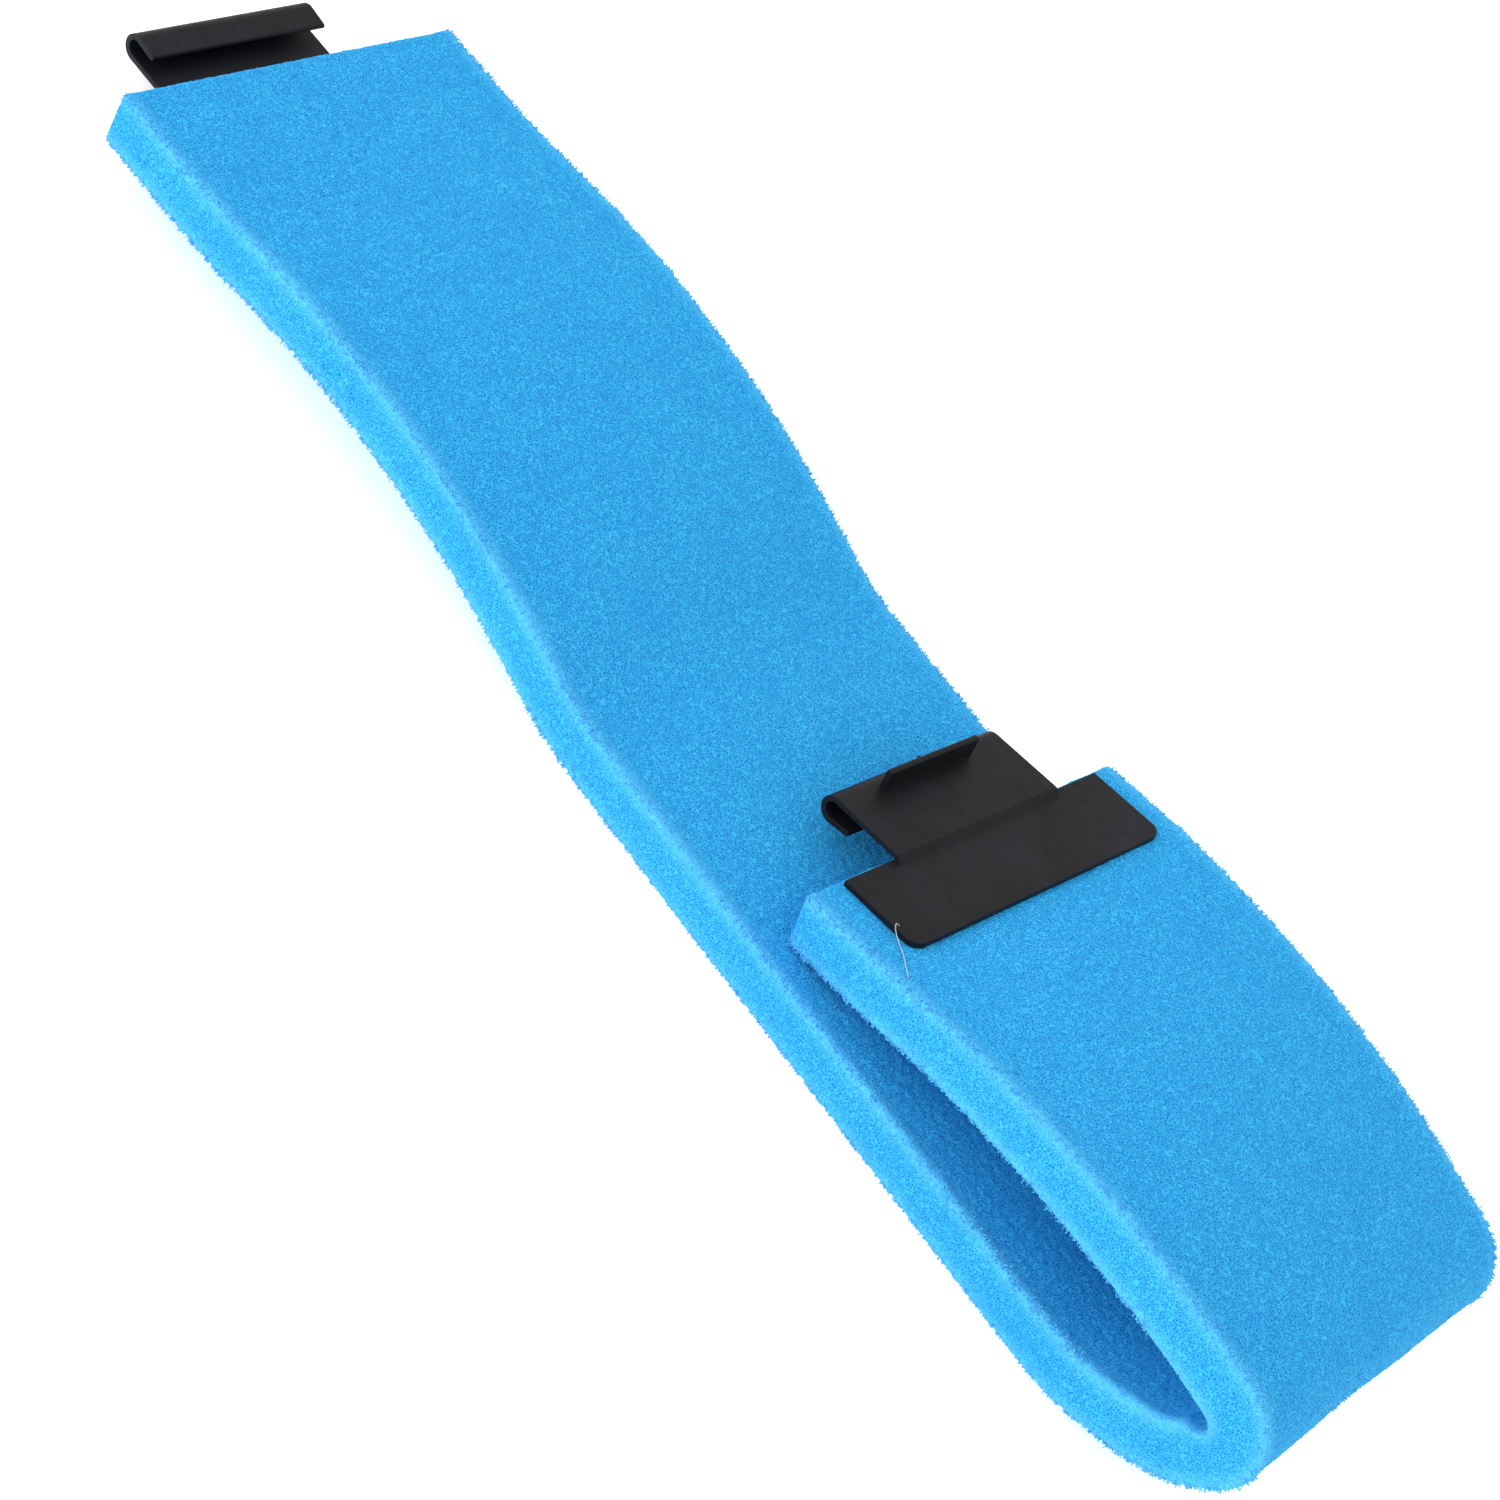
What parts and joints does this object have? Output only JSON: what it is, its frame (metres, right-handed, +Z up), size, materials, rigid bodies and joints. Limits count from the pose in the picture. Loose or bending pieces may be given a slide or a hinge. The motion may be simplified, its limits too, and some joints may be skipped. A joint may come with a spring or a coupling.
{
  "type": "sponge filter",
  "caption": "Long flat band of open-cell foam with a moulded clip glued to each end, folded back over itself, for wrapping round a filter cage.",
  "frame": {"origin": "centre of the bounding box in plan, at floor height", "axes": "+X along the band towards the fold, +Y across the band, +Z up"},
  "size_m": [0.61, 0.1644, 0.0718],
  "materials": {
    "foam": "open-cell foam, matt",
    "clip": "satin moulded",
    "glue": "clear, set"
  },
  "bodies": {
    "base": {"foam_base": "foam"},
    "tail_1": {"foam_tail_1": "foam"},
    "tail_2": {"foam_tail_2": "foam"},
    "tail_3": {"foam_tail_3": "foam"},
    "tail_4": {"foam_tail_4": "foam"},
    "tail_5": {"foam_tail_5": "foam"},
    "far_end": {"foam_far_end": "foam", "far_glue": "glue", "far_clip": "clip"},
    "fold_1": {"foam_fold_1": "foam"},
    "fold_2": {"foam_fold_2": "foam"},
    "fold_3": {"foam_fold_3": "foam"},
    "fold_4": {"foam_fold_4": "foam"},
    "flap": {"foam_flap": "foam"},
    "near_end": {"foam_near_end": "foam", "near_glue": "glue", "near_clip": "clip"}
  },
  "joints": [
    {"name": "tail_bend_1", "type": "hinge", "parent": "base", "child": "tail_1", "pos_m": [0.00704, -0.00337, 0.02], "axis": [0, 1, 0], "range_deg": [0, 18]},
    {"name": "tail_bend_2", "type": "hinge", "parent": "tail_1", "child": "tail_2", "pos_m": [-0.02176, -0.00345, 0.02407], "axis": [-0.0051, 1, 0.0009], "range_deg": [0, 18]},
    {"name": "tail_bend_3", "type": "hinge", "parent": "tail_2", "child": "tail_3", "pos_m": [-0.0641, -0.00379, 0.034], "axis": [-0.0102, 0.9999, 0.002], "range_deg": [0, 18]},
    {"name": "tail_bend_4", "type": "hinge", "parent": "tail_3", "child": "tail_4", "pos_m": [-0.10722, -0.00436, 0.0396], "axis": [-0.0154, 0.9999, 0.0026], "range_deg": [0, 18]},
    {"name": "tail_bend_5", "type": "hinge", "parent": "tail_4", "child": "tail_5", "pos_m": [-0.15069, -0.00514, 0.04082], "axis": [-0.0207, 0.9998, 0.0027], "range_deg": [0, 18]},
    {"name": "tail_bend_6", "type": "hinge", "parent": "tail_5", "child": "far_end", "pos_m": [-0.19405, -0.00615, 0.03763], "axis": [-0.0259, 0.9997, 0.0023], "range_deg": [0, 18]},
    {"name": "fold_bend_1", "type": "hinge", "parent": "base", "child": "fold_1", "pos_m": [0.24763, -0.00368, 0.00259], "axis": [0.0208, 0.9998, 0.0023], "range_deg": [0, 20]},
    {"name": "fold_bend_2", "type": "hinge", "parent": "fold_1", "child": "fold_2", "pos_m": [0.28636, -0.00532, 0.01671], "axis": [0.0573, 0.9979, -0.0315], "range_deg": [0, 30]},
    {"name": "fold_bend_3", "type": "hinge", "parent": "fold_2", "child": "fold_3", "pos_m": [0.29888, -0.00593, 0.03084], "axis": [0.08, 0.996, -0.0386], "range_deg": [0, 40]},
    {"name": "fold_bend_4", "type": "hinge", "parent": "fold_3", "child": "fold_4", "pos_m": [0.29893, -0.00488, 0.04666], "axis": [0.0288, 0.9987, -0.0409], "range_deg": [0, 40]},
    {"name": "fold_bend_5", "type": "hinge", "parent": "fold_4", "child": "flap", "pos_m": [0.28877, -0.00365, 0.05877], "axis": [-0.0091, 0.9971, -0.0754], "range_deg": [0, 40]},
    {"name": "fold_bend_6", "type": "hinge", "parent": "flap", "child": "near_end", "pos_m": [0.16497, 0.00151, 0.0604], "axis": [0.1034, 0.9945, -0.0154], "range_deg": [0, 20]}
  ],
  "couplings": [
    {"joint": "tail_bend_2", "follows": "tail_bend_1", "ratio": 1},
    {"joint": "tail_bend_3", "follows": "tail_bend_1", "ratio": 1},
    {"joint": "tail_bend_4", "follows": "tail_bend_1", "ratio": 1},
    {"joint": "tail_bend_5", "follows": "tail_bend_1", "ratio": 1},
    {"joint": "tail_bend_6", "follows": "tail_bend_1", "ratio": 1},
    {"joint": "fold_bend_2", "follows": "fold_bend_1", "ratio": 1.5},
    {"joint": "fold_bend_3", "follows": "fold_bend_1", "ratio": 2},
    {"joint": "fold_bend_4", "follows": "fold_bend_1", "ratio": 2},
    {"joint": "fold_bend_5", "follows": "fold_bend_1", "ratio": 2},
    {"joint": "fold_bend_6", "follows": "fold_bend_1", "ratio": 1}
  ]
}
